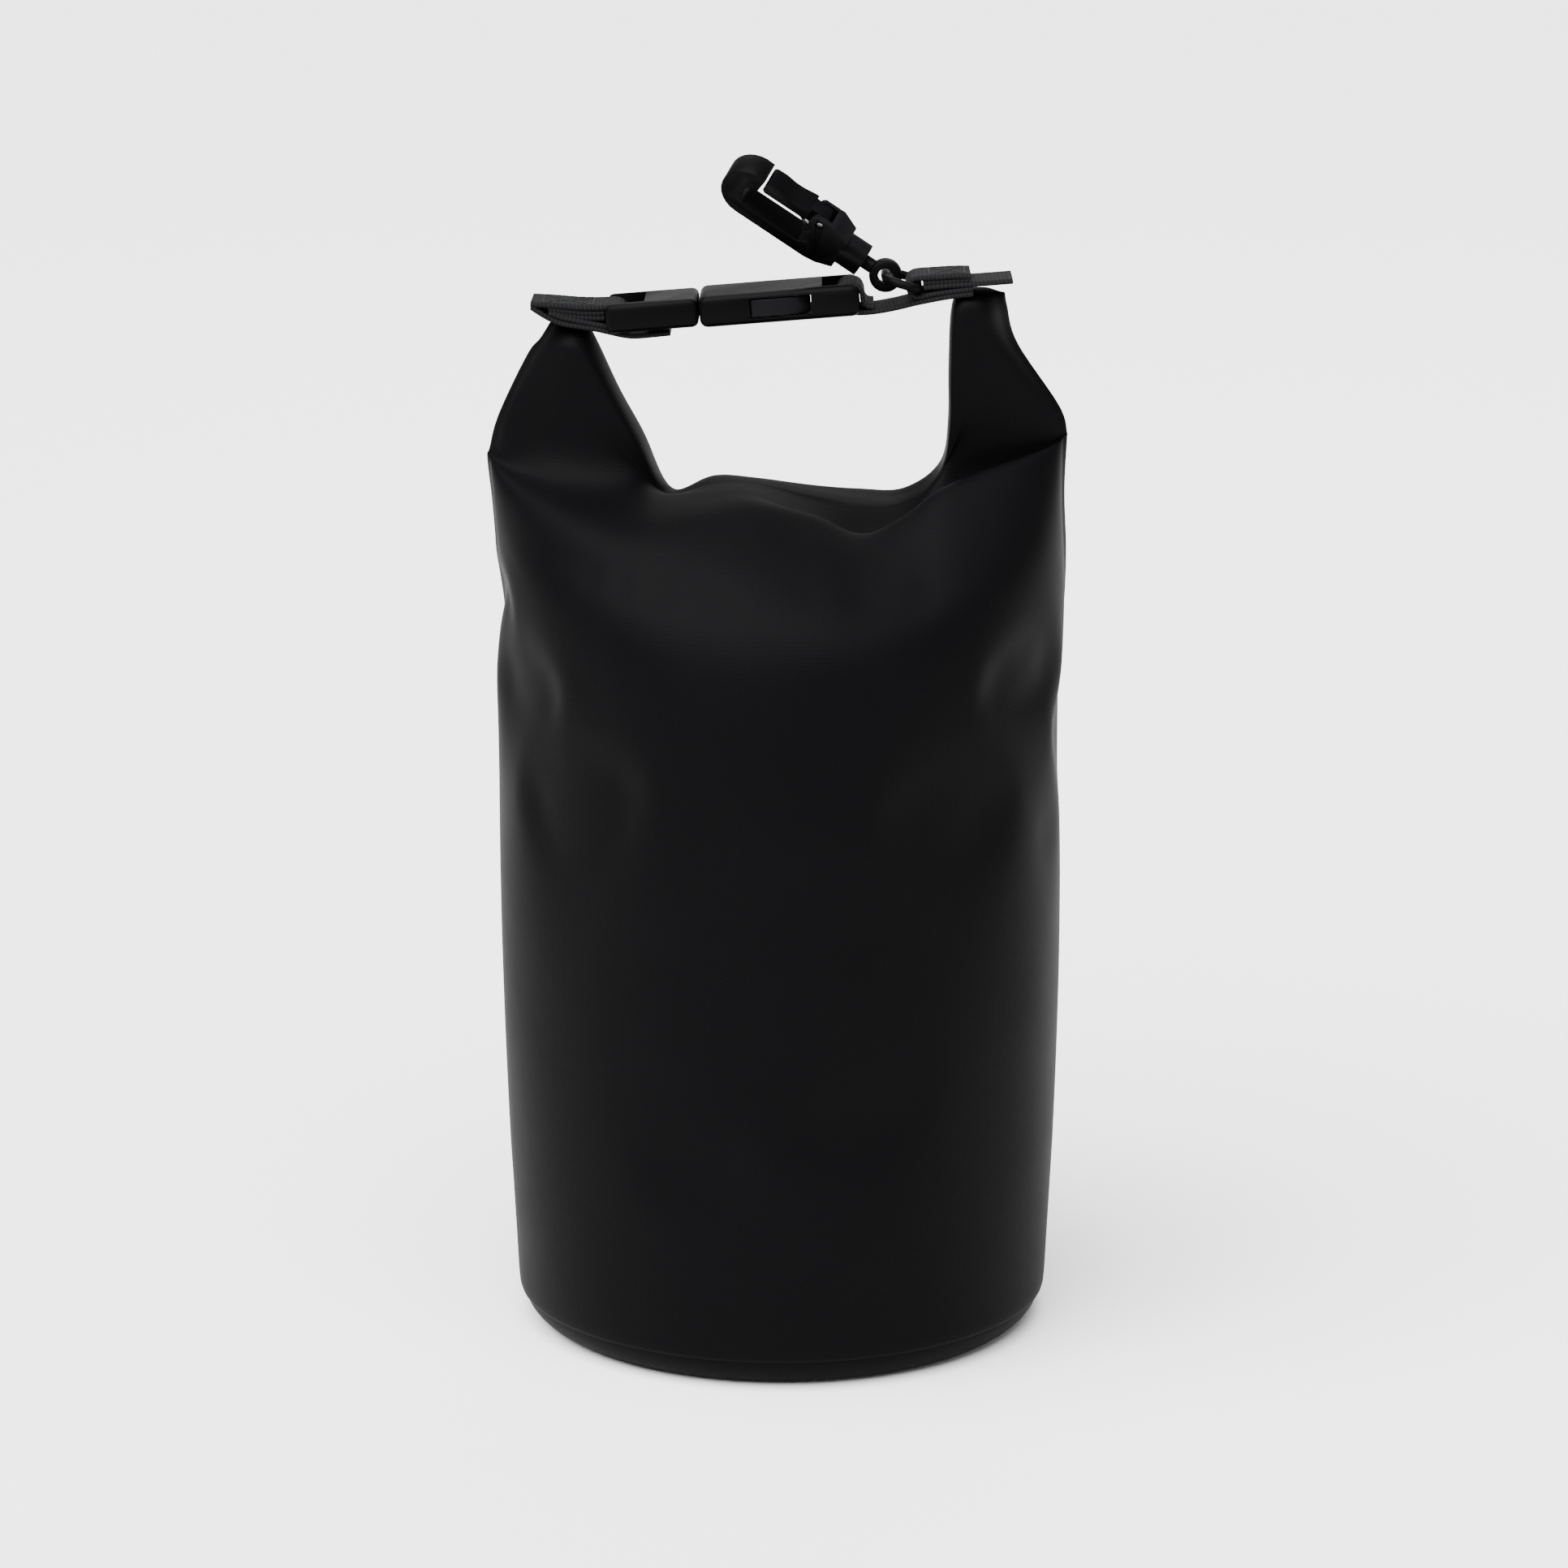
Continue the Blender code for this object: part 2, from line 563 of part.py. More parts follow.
def build():
    body_panel()
    base_disc()
    back_seam_tape()
    roll_top()
    mouth_stiffener()
    right_ear()
    left_ear()
    left_webbing()
    right_webbing()
    buckle_female_shell()
    buckle_male_frame()
    buckle_arm("buckle_arm_back", 1)
    buckle_arm("buckle_arm_front", -1)
    d_ring()
    swivel_eye()
    hook_body()
    hook_gate()
    gate_pin()
    gate_spring()


build()
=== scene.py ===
import bmesh
import bpy
import json
import math
from mathutils import Matrix, Vector


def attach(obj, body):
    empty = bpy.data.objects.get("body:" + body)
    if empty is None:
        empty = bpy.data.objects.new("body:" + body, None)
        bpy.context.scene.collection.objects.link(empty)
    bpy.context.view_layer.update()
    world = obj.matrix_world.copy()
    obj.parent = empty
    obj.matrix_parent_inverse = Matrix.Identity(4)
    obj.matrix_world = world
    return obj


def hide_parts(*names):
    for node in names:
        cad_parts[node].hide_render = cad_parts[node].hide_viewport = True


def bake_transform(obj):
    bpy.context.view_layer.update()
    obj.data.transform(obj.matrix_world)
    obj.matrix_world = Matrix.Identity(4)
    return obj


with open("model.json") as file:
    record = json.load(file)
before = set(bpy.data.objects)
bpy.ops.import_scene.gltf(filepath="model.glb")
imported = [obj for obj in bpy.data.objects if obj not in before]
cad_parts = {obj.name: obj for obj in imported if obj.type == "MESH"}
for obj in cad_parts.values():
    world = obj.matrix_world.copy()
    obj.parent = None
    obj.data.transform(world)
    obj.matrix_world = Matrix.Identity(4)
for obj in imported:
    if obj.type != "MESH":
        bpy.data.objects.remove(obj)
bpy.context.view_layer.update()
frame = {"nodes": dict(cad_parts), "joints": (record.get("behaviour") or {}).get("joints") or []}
mm = 0.001


# ---- camera, floor and light

view = {
    "target": (0.0007, 0, 0.1685),
    "distance": 2,
    "elevation": 14.6,      # degrees above the floor
    "lens": 149.2,
}


def addCamera():
    up = math.radians(view["elevation"])
    target = Vector(view["target"])
    place = target + view["distance"] * Vector((0, -math.cos(up), math.sin(up)))
    bpy.ops.object.camera_add(location=place)
    camera = bpy.context.object
    camera.rotation_euler = (target - place).to_track_quat("-Z", "Y").to_euler()
    camera.data.lens = view["lens"]
    camera.data.clip_start = 0.01
    bpy.context.scene.camera = camera


addCamera()

studio = {
    "floorSize": 14,
    "key": {"place": (-0.9, -0.7, 1.5), "size": 1.1, "power": 9},
    "fill": {"place": (1.5, -1.1, 0.9), "size": 1.4, "power": 4},
    "rim": {"place": (0.2, 1.4, 1.3), "size": 1.2, "power": 8},
    "ceiling": {"turn": (24, -14, 0), "spread": 70, "power": 13},      # degrees
    "sky": 0.55,
}


def areaLight(name, place, size, power, target=(0, 0, 0.2)):
    bpy.ops.object.light_add(type="AREA", location=place)
    lamp = bpy.context.object
    lamp.name = name
    lamp.data.shape = "DISK"
    lamp.data.size = size
    lamp.data.energy = power
    lamp.rotation_euler = (Vector(target) - Vector(place)).to_track_quat("-Z", "Y").to_euler()


for lampName in ("key", "fill", "rim"):
    areaLight(lampName + "Light", **studio[lampName])

# a broad soft ceiling, equally bright over the whole floor
bpy.ops.object.light_add(type="SUN", rotation=[math.radians(v) for v in studio["ceiling"]["turn"]])
ceiling = bpy.context.object
ceiling.name = "ceilingLight"
ceiling.data.angle = math.radians(studio["ceiling"]["spread"])
ceiling.data.energy = studio["ceiling"]["power"]

world = bpy.data.worlds.new("studioAir")
bpy.context.scene.world = world
world.use_nodes = True
world.node_tree.nodes["Background"].inputs["Color"].default_value = (1, 1, 1, 1)
world.node_tree.nodes["Background"].inputs["Strength"].default_value = studio["sky"]
print("camera and light are up")


# ---- shader maths: a socket with operators, so that a pattern reads as an expression

class Wire:
    def __init__(self, tree, socket):
        self.tree = tree
        self.socket = socket

    def math(self, operation, *others):
        return node(self.tree, "ShaderNodeMath", {"operation": operation}, (self,) + others)

    def __add__(self, other):
        return self.math("ADD", other)

    def __sub__(self, other):
        return self.math("SUBTRACT", other)

    def __mul__(self, other):
        return self.math("MULTIPLY", other)

    def __rsub__(self, other):
        return node(self.tree, "ShaderNodeMath", {"operation": "SUBTRACT"}, (other, self))

    __radd__ = __add__
    __rmul__ = __mul__


def node(tree, kind, settings=None, values=(), output=0):
    made = tree.nodes.new(kind)
    for name, value in (settings or {}).items():
        setattr(made, name, value)
    pairs = values.items() if isinstance(values, dict) else enumerate(values)
    for key, value in pairs:
        if isinstance(value, Wire):
            tree.links.new(value.socket, made.inputs[key])
        else:
            made.inputs[key].default_value = value
    return Wire(tree, made.outputs[output])


def newMaterial(name, roughness, **constants):
    material = bpy.data.materials.new(name)
    material.use_nodes = True
    tree = material.node_tree
    shader = tree.nodes["Principled BSDF"]
    shader.inputs["Roughness"].default_value = roughness
    for key, value in constants.items():
        shader.inputs[key.replace("_", " ")].default_value = value
    place = node(tree, "ShaderNodeTexCoord", output=3)
    return material, tree, shader, place


def tint(tree, low, high, amount):
    colors = {0: amount, 6: (*low, 1), 7: (*high, 1)}
    return node(tree, "ShaderNodeMix", {"data_type": "RGBA"}, colors, output=2)


def plug(tree, wire, shader, socket):
    tree.links.new(wire.socket, shader.inputs[socket])


def axesOf(tree, vector):
    parts = node(tree, "ShaderNodeSeparateXYZ", None, (vector,)).socket.node
    return [Wire(tree, socket) for socket in parts.outputs]


def addBump(tree, shader, height, distance, strength=1.0):
    bump = node(tree, "ShaderNodeBump", None, {"Strength": strength, "Distance": distance, "Height": height})
    plug(tree, bump, shader, "Normal")


tarpaulin = {
    "dark": (0.0008, 0.0008, 0.001),
    "light": (0.0016, 0.0016, 0.0019),
    "scrim": 900,          # woven threads under the coating, per metre
    "round": 0.085,        # metres, the tube's radius as the threads count it
    "roughness": (0.5, 0.64),
}


def tarpaulinMaterial():
    material, tree, shader, place = newMaterial("coatedTarpaulin", 0.5, Specular_IOR_Level=0.025)
    cloud = node(tree, "ShaderNodeTexNoise", None, {"Vector": place, "Scale": 26.0, "Detail": 5.0})
    grain = node(tree, "ShaderNodeTexNoise", None, {"Vector": place, "Scale": 1900.0, "Detail": 2.0})
    across, back, up = axesOf(tree, place)
    around = across.math("ARCTAN2", back) * tarpaulin["round"]
    threads = tarpaulin["scrim"] * math.tau
    ridges = (up * threads).math("SINE") + (around * threads).math("SINE")
    plug(tree, tint(tree, tarpaulin["dark"], tarpaulin["light"], cloud), shader, "Base Color")
    low, high = tarpaulin["roughness"]
    plug(tree, cloud * (high - low) + low, shader, "Roughness")
    addBump(tree, shader, ridges * 0.25 + grain * 0.6, 0.00004, 0.5)
    return material


webbing = {
    "dark": (0.0016, 0.0016, 0.0018),
    "light": (0.0075, 0.0075, 0.0082),
    "ribs": 820,           # yarn rows per metre along the strap
    "yarns": 520,          # yarns per metre across it
}


def webbingMaterial():
    # the strap's own UV map: u runs along it and v across it, both in metres
    material, tree, shader, place = newMaterial("wovenWebbing", 0.72, Specular_IOR_Level=0.06)
    cloth = node(tree, "ShaderNodeUVMap", {"uv_map": "alongStrap"})
    along, across = axesOf(tree, cloth)[:2]
    wave = (across * (webbing["yarns"] * math.pi)).math("SINE") * 1.4
    ribs = (along * (webbing["ribs"] * math.tau) + wave).math("SINE")
    yarns = (across * (webbing["yarns"] * math.tau)).math("SINE")
    weave = ribs * 0.3 + yarns * 0.2 + 0.5
    fuzz = node(tree, "ShaderNodeTexNoise", None, {"Vector": place, "Scale": 2400.0, "Detail": 2.0})
    plug(tree, tint(tree, webbing["dark"], webbing["light"], weave * 0.7 + fuzz * 0.3), shader, "Base Color")
    plug(tree, 0.82 - weave * 0.14, shader, "Roughness")
    addBump(tree, shader, weave + fuzz * 0.3, 0.0002, 0.8)
    return material


acetal = {
    "dark": (0.001, 0.001, 0.0012),
    "worn": (0.006, 0.006, 0.0066),
    "wornFrom": 0.53,      # pointiness, where an edge starts to be rubbed pale
    "wornTo": 0.66,
}


def acetalMaterial():
    material, tree, shader, place = newMaterial("mouldedAcetal", 0.4, Specular_IOR_Level=0.025)
    spark = node(tree, "ShaderNodeTexNoise", None, {"Vector": place, "Scale": 1500.0, "Detail": 3.0})
    flow = node(tree, "ShaderNodeTexNoise", None, {"Vector": place, "Scale": 70.0, "Detail": 3.0})
    edge = node(tree, "ShaderNodeNewGeometry", output=7)
    worn = node(tree, "ShaderNodeMapRange", None, {0: edge, 1: acetal["wornFrom"], 2: acetal["wornTo"]})
    plug(tree, tint(tree, acetal["dark"], acetal["worn"], worn * flow), shader, "Base Color")
    plug(tree, flow * 0.16 + spark * 0.08 + 0.3, shader, "Roughness")
    addBump(tree, shader, spark + flow * 0.8, 0.00003, 0.35)
    return material


thread = {
    "dark": (0.002, 0.002, 0.0022),
    "light": (0.0085, 0.0085, 0.0092),
    "twist": 2600,         # turns per metre
}


def threadMaterial():
    material, tree, shader, place = newMaterial("bondedThread", 0.5, Specular_IOR_Level=0.12)
    x, y, z = axesOf(tree, place)
    twist = ((x + y + z) * (thread["twist"] * math.tau)).math("SINE") * 0.5 + 0.5
    plug(tree, tint(tree, thread["dark"], thread["light"], twist), shader, "Base Color")
    addBump(tree, shader, twist, 0.00008, 0.7)
    return material


def steelMaterial():
    material, tree, shader, place = newMaterial("springSteel", 0.3, Metallic=1.0)
    drawn = node(tree, "ShaderNodeMapping", None, {0: place, 3: (90.0, 90.0, 2600.0)})
    lines = node(tree, "ShaderNodeTexNoise", None, {"Vector": drawn, "Scale": 1.0, "Detail": 4.0})
    # the steel is tinted darker than bright spring steel: painted shade for the pin and the leaf that sit
    # inside the hook
    plug(tree, tint(tree, (0.1, 0.1, 0.105), (0.24, 0.24, 0.25), lines), shader, "Base Color")
    plug(tree, lines * 0.25 + 0.18, shader, "Roughness")
    addBump(tree, shader, lines, 0.00003, 0.3)
    return material


tarpaulinFinish = tarpaulinMaterial()
webbingFinish = webbingMaterial()
acetalFinish = acetalMaterial()
threadFinish = threadMaterial()
steelFinish = steelMaterial()


# ---- the filled tarpaulin shell: tube, shoulders, roll and both ears

shell = {
    "columns": 148,
    "tubeRows": 26,
    "rowsPerSpan": 6,
    "lowEdge": 9,          # mm above the floor, where the tube laps over the base
    "roundTo": 200,        # mm, the tube is round up to here
    "lowRadius": 81.7,
    "swell": 5.1,          # mm that the filled tube grows by, up to swellHeight
    "swellHeight": 160,
    "wall": 0.8,
    "creaseOut": 1.2,      # mm, the side creases stand out by this much, above creaseFrom
    "creaseFrom": 215,
    "creaseOver": 30,      # mm of height, in which the crease comes out
    "leadIn": 25,          # mm, the upper rows take their slope from this far below roundTo
}

# How far round the flattened mouth each column stands, from the left crease (-1) to the right one (1)
mouth = (-1, -0.91, -0.79, -0.67, -0.55, -0.43, -0.31, -0.19, -0.06,
         0.08, 0.2, 0.31, 0.43, 0.54, 0.65, 0.76, 0.87, 1)

# Rows of points in millimetres, left crease to right crease, each row further along the cloth
frontRows = {
    "chest": (
        (-86.2, 0, 236), (-85.4, -11.5, 235.5), (-81.5, -27, 235), (-75, -41, 234), (-65.5, -54, 232.5),
        (-53.5, -65, 231), (-40, -73.5, 229.5), (-25, -79.5, 228), (-8, -82.5, 227), (11, -82, 227),
        (26.5, -78.5, 227.5), (40, -73, 228.5), (53.5, -65, 230), (64.5, -55, 231.5), (73.5, -43.5, 233),
        (80.3, -30.5, 235), (84.8, -16, 236), (86.4, 0, 237)),
    "shoulder": (
        (-87.2, 0, 256), (-86.5, -10, 255), (-81.5, -23, 253), (-73.5, -36, 251), (-63.5, -47, 249),
        (-51.5, -56, 247.5), (-38.5, -62, 247), (-24, -66, 247), (-8, -68, 246.5), (11, -66.5, 245),
        (26, -63, 244), (39.5, -59, 245), (52.5, -53, 248), (63.5, -45, 251), (72.5, -35.5, 254),
        (79.5, -25, 256.5), (84, -13, 258.5), (85.3, 0, 260)),
    "fold": (
        (-88.8, 0, 271), (-87.3, -8, 268.5), (-81, -18, 265), (-72, -29, 262), (-61.5, -38, 259.8),
        (-49.5, -45, 258), (-37, -47, 259), (-23, -45, 261), (-8, -41, 262.8), (10, -37.5, 260.3),
        (24, -39.5, 255.6), (37, -36, 260.5), (47, -31.5, 267), (58.5, -25, 270.8), (69, -18.5, 273.2),
        (77.5, -12, 275), (83.5, -6, 276.2), (86, 0, 277)),
    "valley": (
        (-88.3, 0, 274), (-85, -5, 272), (-77.5, -10.5, 269.8), (-68, -16, 267.8), (-58, -19.5, 266),
        (-47, -22.5, 264.6), (-35.5, -25, 264), (-22, -26, 264.8), (-8, -26, 265), (10, -30, 257),
        (24, -31.5, 251), (36, -28.5, 253.8), (45.5, -21, 260), (57, -14, 264), (67.5, -9, 266.5),
        (76.5, -5.5, 269.5), (83, -2.8, 273.5), (86, 0, 279)),
    "earFront": (
        (-85.4, 0, 284.5), (-82.5, -5, 284), (-74.5, -8, 282), (-64.5, -11.5, 279), (-55, -13.5, 275),
        (-45, -14, 269.5), (-34, -13.5, 262.5), (-21, -13, 265.4), (-8, -13, 265.2), (10, -16, 260.2),
        (24, -17, 257.6), (36.5, -15.5, 258.6), (46.5, -13.5, 266.4), (53.5, -11.5, 275), (63.5, -8.5, 281),
        (73, -6, 285), (80, -3.5, 286.5), (83.6, 0, 287)),
    "rollLip": (
        (-76.5, 0, 303), (-74, -7, 302), (-69, -11, 301.5), (-63.5, -12.8, 300.5), (-54.5, -13.5, 287.5),
        (-46, -13.5, 274), (-35.5, -11.5, 262), (-21, -9, 265.8), (-8, -9, 265.4), (10, -11, 261.8),
        (24, -11.5, 259.6), (36.5, -11.5, 260), (47.4, -12, 268), (53.5, -13, 283), (55.6, -13, 296),
        (59.5, -12.5, 306), (66, -9.5, 307), (70.6, 0, 306.5)),
    "rollFront": (
        (-72.5, 0, 308), (-70, -7.5, 308.5), (-64.5, -12, 309.2), (-59, -12.8, 306), (-50.3, -12.8, 291),
        (-42.6, -12.8, 277), (-34.5, -7, 262.3), (-21, -3, 265.7), (-8, -2, 265), (10, -4, 262.2),
        (24, -4.5, 260.4), (36.8, -5, 260.5), (47.9, -9, 269.2), (50.6, -12.5, 284), (50.8, -12.5, 299),
        (52.4, -12.4, 318.4), (61, -12, 319.6), (67.6, 0, 318)),
    "rollTop": (
        (-69.6, 0, 312.6), (-66.6, -3, 314), (-62, -4, 313.6), (-57.4, -2, 310.4), (-48.8, -1, 291.5),
        (-41.4, -1, 277.5), (-33.5, 2, 261), (-21, 7, 263.7), (-8, 9, 262.4), (10, 8, 260.7),
        (24, 8, 259.8), (37, 6, 260.4), (48.2, 1, 269.6), (50.4, -1, 284.5), (50.4, -1, 300),
        (51.8, -2, 321), (60, -4, 322.4), (67, 0, 321.6)),
    "rollBack": (
        (-69, 0, 313.2), (-66.6, 8, 313.8), (-62, 12, 313.2), (-58.4, 12.5, 308.6), (-49.6, 12.5, 290.5),
        (-42, 12.5, 276.5), (-34, 20, 257.5), (-21, 31, 253.5), (-8, 33, 251.5), (10, 33.5, 251),
        (24, 33, 251.5), (37, 29, 253.5), (48.8, 15, 267), (51, 12.5, 283), (51.2, 12.5, 299),
        (52.6, 12.4, 318.4), (60.5, 12, 321.6), (67, 0, 321.8)),
}
rearRows = {
    "back": (
        (-85.5, 11.5, 234), (-81.5, 26.5, 231), (-75, 40, 228.5), (-65.5, 52, 226), (-53.5, 62, 224),
        (-40, 70, 222), (-25, 75.5, 220.5), (-8, 78, 220), (11, 78, 220), (26.5, 75.5, 220.5),
        (40, 70, 222), (53.5, 62, 225), (64.5, 52.5, 228), (73.5, 41.5, 231), (80.3, 29.5, 233.5),
        (84.8, 15.5, 235.5)),
    "rearShoulder": (
        (-86.3, 10.5, 252.5), (-81.3, 23.5, 247), (-74, 35.5, 242.5), (-64.5, 46.5, 238), (-53, 55.5, 234),
        (-39.5, 62.5, 230.5), (-24.8, 67.5, 228.5), (-8, 70, 227.5), (10.8, 70, 227.5), (26.3, 67.5, 228.5),
        (40, 62.5, 231), (53.3, 55, 235), (64, 46, 240), (73, 35.5, 245), (80, 25, 249.5),
        (84.5, 13, 254.5)),
    "rearFold": (
        (-87, 9, 267), (-81, 20, 261), (-73, 30, 254), (-63, 39, 247.5), (-51.8, 47, 242.5),
        (-39, 53.5, 238), (-24.5, 58, 235.5), (-8, 60, 234.5), (10.5, 60, 234.5), (26, 58, 235.5),
        (40, 53.5, 238.5), (53, 46.5, 243.5), (63.5, 38, 250.5), (72.5, 28.5, 258), (79.5, 19, 265.5),
        (84, 9, 271.5)),
    "rearSlope": (
        (-84.5, 8, 275), (-78.5, 17, 268), (-71, 26, 260), (-61.5, 34.5, 253), (-51, 41.5, 246.5),
        (-38.5, 47.5, 241), (-24, 51.5, 238.5), (-8, 53.5, 237.5), (10.5, 53.5, 237.5), (26, 51.5, 238.5),
        (40.5, 47.5, 241.5), (53, 41, 248), (63.5, 33.5, 256.5), (72.5, 25, 264.5), (79, 16.5, 272),
        (83.5, 8, 279)),
    "earBack": (
        (-81.5, 7.5, 284.5), (-77, 15, 277), (-70, 22.5, 268.5), (-61.5, 29.5, 259), (-51.5, 36.5, 250.5),
        (-39, 42.5, 243.5), (-24, 46.5, 240.5), (-8, 48.5, 239.2), (10.5, 48.5, 239), (26, 46.5, 240),
        (41, 42, 243), (54.5, 35, 251.5), (64.5, 27.5, 262), (72.5, 20, 272.5), (78, 13, 281.5),
        (81.5, 6.5, 288.5)),
    "underRoll": (
        (-75, 7.5, 299), (-72.5, 13, 292.5), (-69, 17.5, 284.5), (-63, 21.5, 273.5), (-55, 26.5, 261),
        (-41.5, 34, 247), (-23.5, 39.5, 242.8), (-8, 42, 241), (10.5, 42.5, 240.5), (25.5, 41.5, 241),
        (42.5, 36, 244), (57.5, 26.5, 254.5), (65.5, 20.5, 268.5), (69.5, 16, 282), (71.5, 12.5, 295),
        (71.8, 8, 303)),
    "tuck": (
        (-70, 6.5, 305), (-67.5, 9, 301.5), (-65, 9, 296.5), (-58.5, 8.5, 285), (-50.5, 10, 270.5),
        (-39.5, 16.5, 249.5), (-22, 25.5, 244.5), (-8, 27.5, 243), (10, 28, 242.5), (24, 27.5, 243),
        (41, 24.5, 245), (56, 12.5, 260.5), (60, 9, 280), (60.5, 9, 295), (61.5, 9, 306),
        (66, 8.5, 309)),
    "rollUnder": (
        (-68, 8, 308.5), (-65.5, 12.5, 305.5), (-62.5, 13, 300), (-56, 13.5, 287), (-48, 14.5, 273),
        (-38, 22, 251.5), (-22, 32.5, 246.5), (-8, 34.5, 244.5), (10, 35, 244), (24, 34.5, 244.5),
        (40, 31, 246.5), (54, 17, 262.5), (57.5, 13.5, 282), (57.8, 13, 297.5), (58.5, 13, 309.5),
        (64.5, 12, 312.5)),
}


def tubeRadius(z):
    rise = min(1, max(0, z / shell["swellHeight"]))
    return shell["lowRadius"] + shell["swell"] * math.sin(rise * math.pi / 2)


def tubePoint(side, s, z):
    turn = math.radians(90 * s)
    radius = tubeRadius(z)
    return Vector((radius * math.sin(turn), side * radius * math.cos(turn), z))


def hermite(points, knots, t):
    last = len(knots) - 1
    i = min(last - 1, max(0, sum(1 for k in knots[1:] if k <= t)))
    slopes = []
    for j in (i, i + 1):
        low, high = max(0, j - 1), min(last, j + 1)
        slopes.append((points[high] - points[low]) / (knots[high] - knots[low]))
    width = knots[i + 1] - knots[i]
    u = (t - knots[i]) / width
    a, b = points[i], points[i + 1]
    return (a * (2 * u ** 3 - 3 * u ** 2 + 1) + slopes[0] * width * (u ** 3 - 2 * u ** 2 + u)
            + b * (3 * u ** 2 - 2 * u ** 3) + slopes[1] * width * (u ** 3 - u ** 2))


def wallRows(side):
    front = [[Vector(p) for p in row] for row in frontRows.values()]
    if side < 0:
        return front
    middle = [[Vector(p) for p in row] for row in rearRows.values()]
    return [[a[0]] + row + [a[-1]] for a, row in zip(front, middle)] + [front[-1]]


def wallColumn(side, rows, s):
    # one upright line of the wall, from the tube's lower edge to the back of the roll
    low, high = shell["lowEdge"], shell["roundTo"]
    tubeRows = shell["tubeRows"]
    line = [tubePoint(side, s, low + (high - low) * i / tubeRows) for i in range(tubeRows)]
    guide = [tubePoint(side, s, high - shell["leadIn"]), tubePoint(side, s, high)]
    guide += [hermite(row, mouth, s) for row in rows]
    spans = len(guide) - 2
    knots = list(range(-1, spans + 1))
    steps = spans * shell["rowsPerSpan"]
    return line + [hermite(guide, knots, i / shell["rowsPerSpan"]) for i in range(steps + 1)]


def select(piece):
    if bpy.context.object and bpy.context.object.mode != "OBJECT":
        bpy.ops.object.mode_set(mode="OBJECT")
    bpy.ops.object.select_all(action="DESELECT")
    piece.select_set(True)
    bpy.context.view_layer.objects.active = piece


def pieceFromPoints(name, points, faces, finish):
    mesh = bpy.data.meshes.new(name)
    mesh.from_pydata([Vector(p) * mm for p in points], [], faces)
    mesh.materials.append(finish)
    piece = bpy.data.objects.new(name, mesh)
    bpy.context.scene.collection.objects.link(piece)
    return piece


def cleanMesh(piece, merge=0.02):
    # join points closer than merge, in mm, and turn the faces outwards
    select(piece)
    bpy.ops.object.mode_set(mode="EDIT")
    bpy.ops.mesh.select_all(action="SELECT")
    if merge:
        bpy.ops.mesh.remove_doubles(threshold=merge * mm)
    bpy.ops.mesh.normals_make_consistent(inside=False)
    bpy.ops.object.mode_set(mode="OBJECT")


def applyModifiers(piece):
    select(piece)
    for modifier in list(piece.modifiers):
        bpy.ops.object.modifier_apply(modifier=modifier.name)


def buildShell():
    half = shell["columns"] // 2
    columns = [wallColumn(-1, wallRows(-1), -1 + 2 * i / half) for i in range(half + 1)]
    columns += [wallColumn(1, wallRows(1), -1 + 2 * i / half) for i in range(half - 1, 0, -1)]
    for line in (columns[0], columns[half]):
        for point in line:
            share = min(1, max(0, (point.z - shell["creaseFrom"]) / shell["creaseOver"]))
            point.x += math.copysign(shell["creaseOut"] * share, point.x)
    for line in columns:
        inward = Vector((line[0].x, line[0].y, 0)).normalized() * shell["wall"]
        line.insert(0, line[0] - inward)         # the cut edge of the cloth
    height = len(columns[0])
    count = len(columns)
    faces = []
    for i in range(count):
        here, there = i * height, (i + 1) % count * height
        faces += [(here + j, there + j, there + j + 1, here + j + 1) for j in range(height - 1)]
    piece = pieceFromPoints("tarpaulinShell", [p for line in columns for p in line], faces, tarpaulinFinish)
    cleanMesh(piece)
    return piece


sag = {
    "frames": 24,
    "heldBelow": 30,       # mm, welded to the base up to here
    "heldAbove": 282,      # mm, rolled and buckled from here up
    "freeFrom": 60,
    "freeTo": 225,
    "hold": 0.1,           # how firmly the free cloth keeps to its filled shape
    "press": 0.8,          # push of the rope inside
    "spare": -0.003,       # share that the cloth shrinks by; below zero, it is larger than what it fills
    "weight": 0.1,         # share of gravity that the cloth feels, the rope carries the rest
    "limit": 2.2,          # mm that a point may end up from its start
}
cloth = {
    "quality": 6,
    "mass": 0.2,
    "tension_stiffness": 30,
    "compression_stiffness": 18,
    "shear_stiffness": 12,
    "bending_stiffness": 15,
    "use_pressure": True,
    "uniform_pressure_force": sag["press"],
    "shrink_min": sag["spare"],
    "vertex_group_mass": "held",
    "pin_stiffness": 1.0,
}


def heldAt(z):
    below = min(1, max(0, (sag["freeFrom"] - z) / (sag["freeFrom"] - sag["heldBelow"])))
    above = min(1, max(0, (z - sag["freeTo"]) / (sag["heldAbove"] - sag["freeTo"])))
    return max(sag["hold"], below, above)


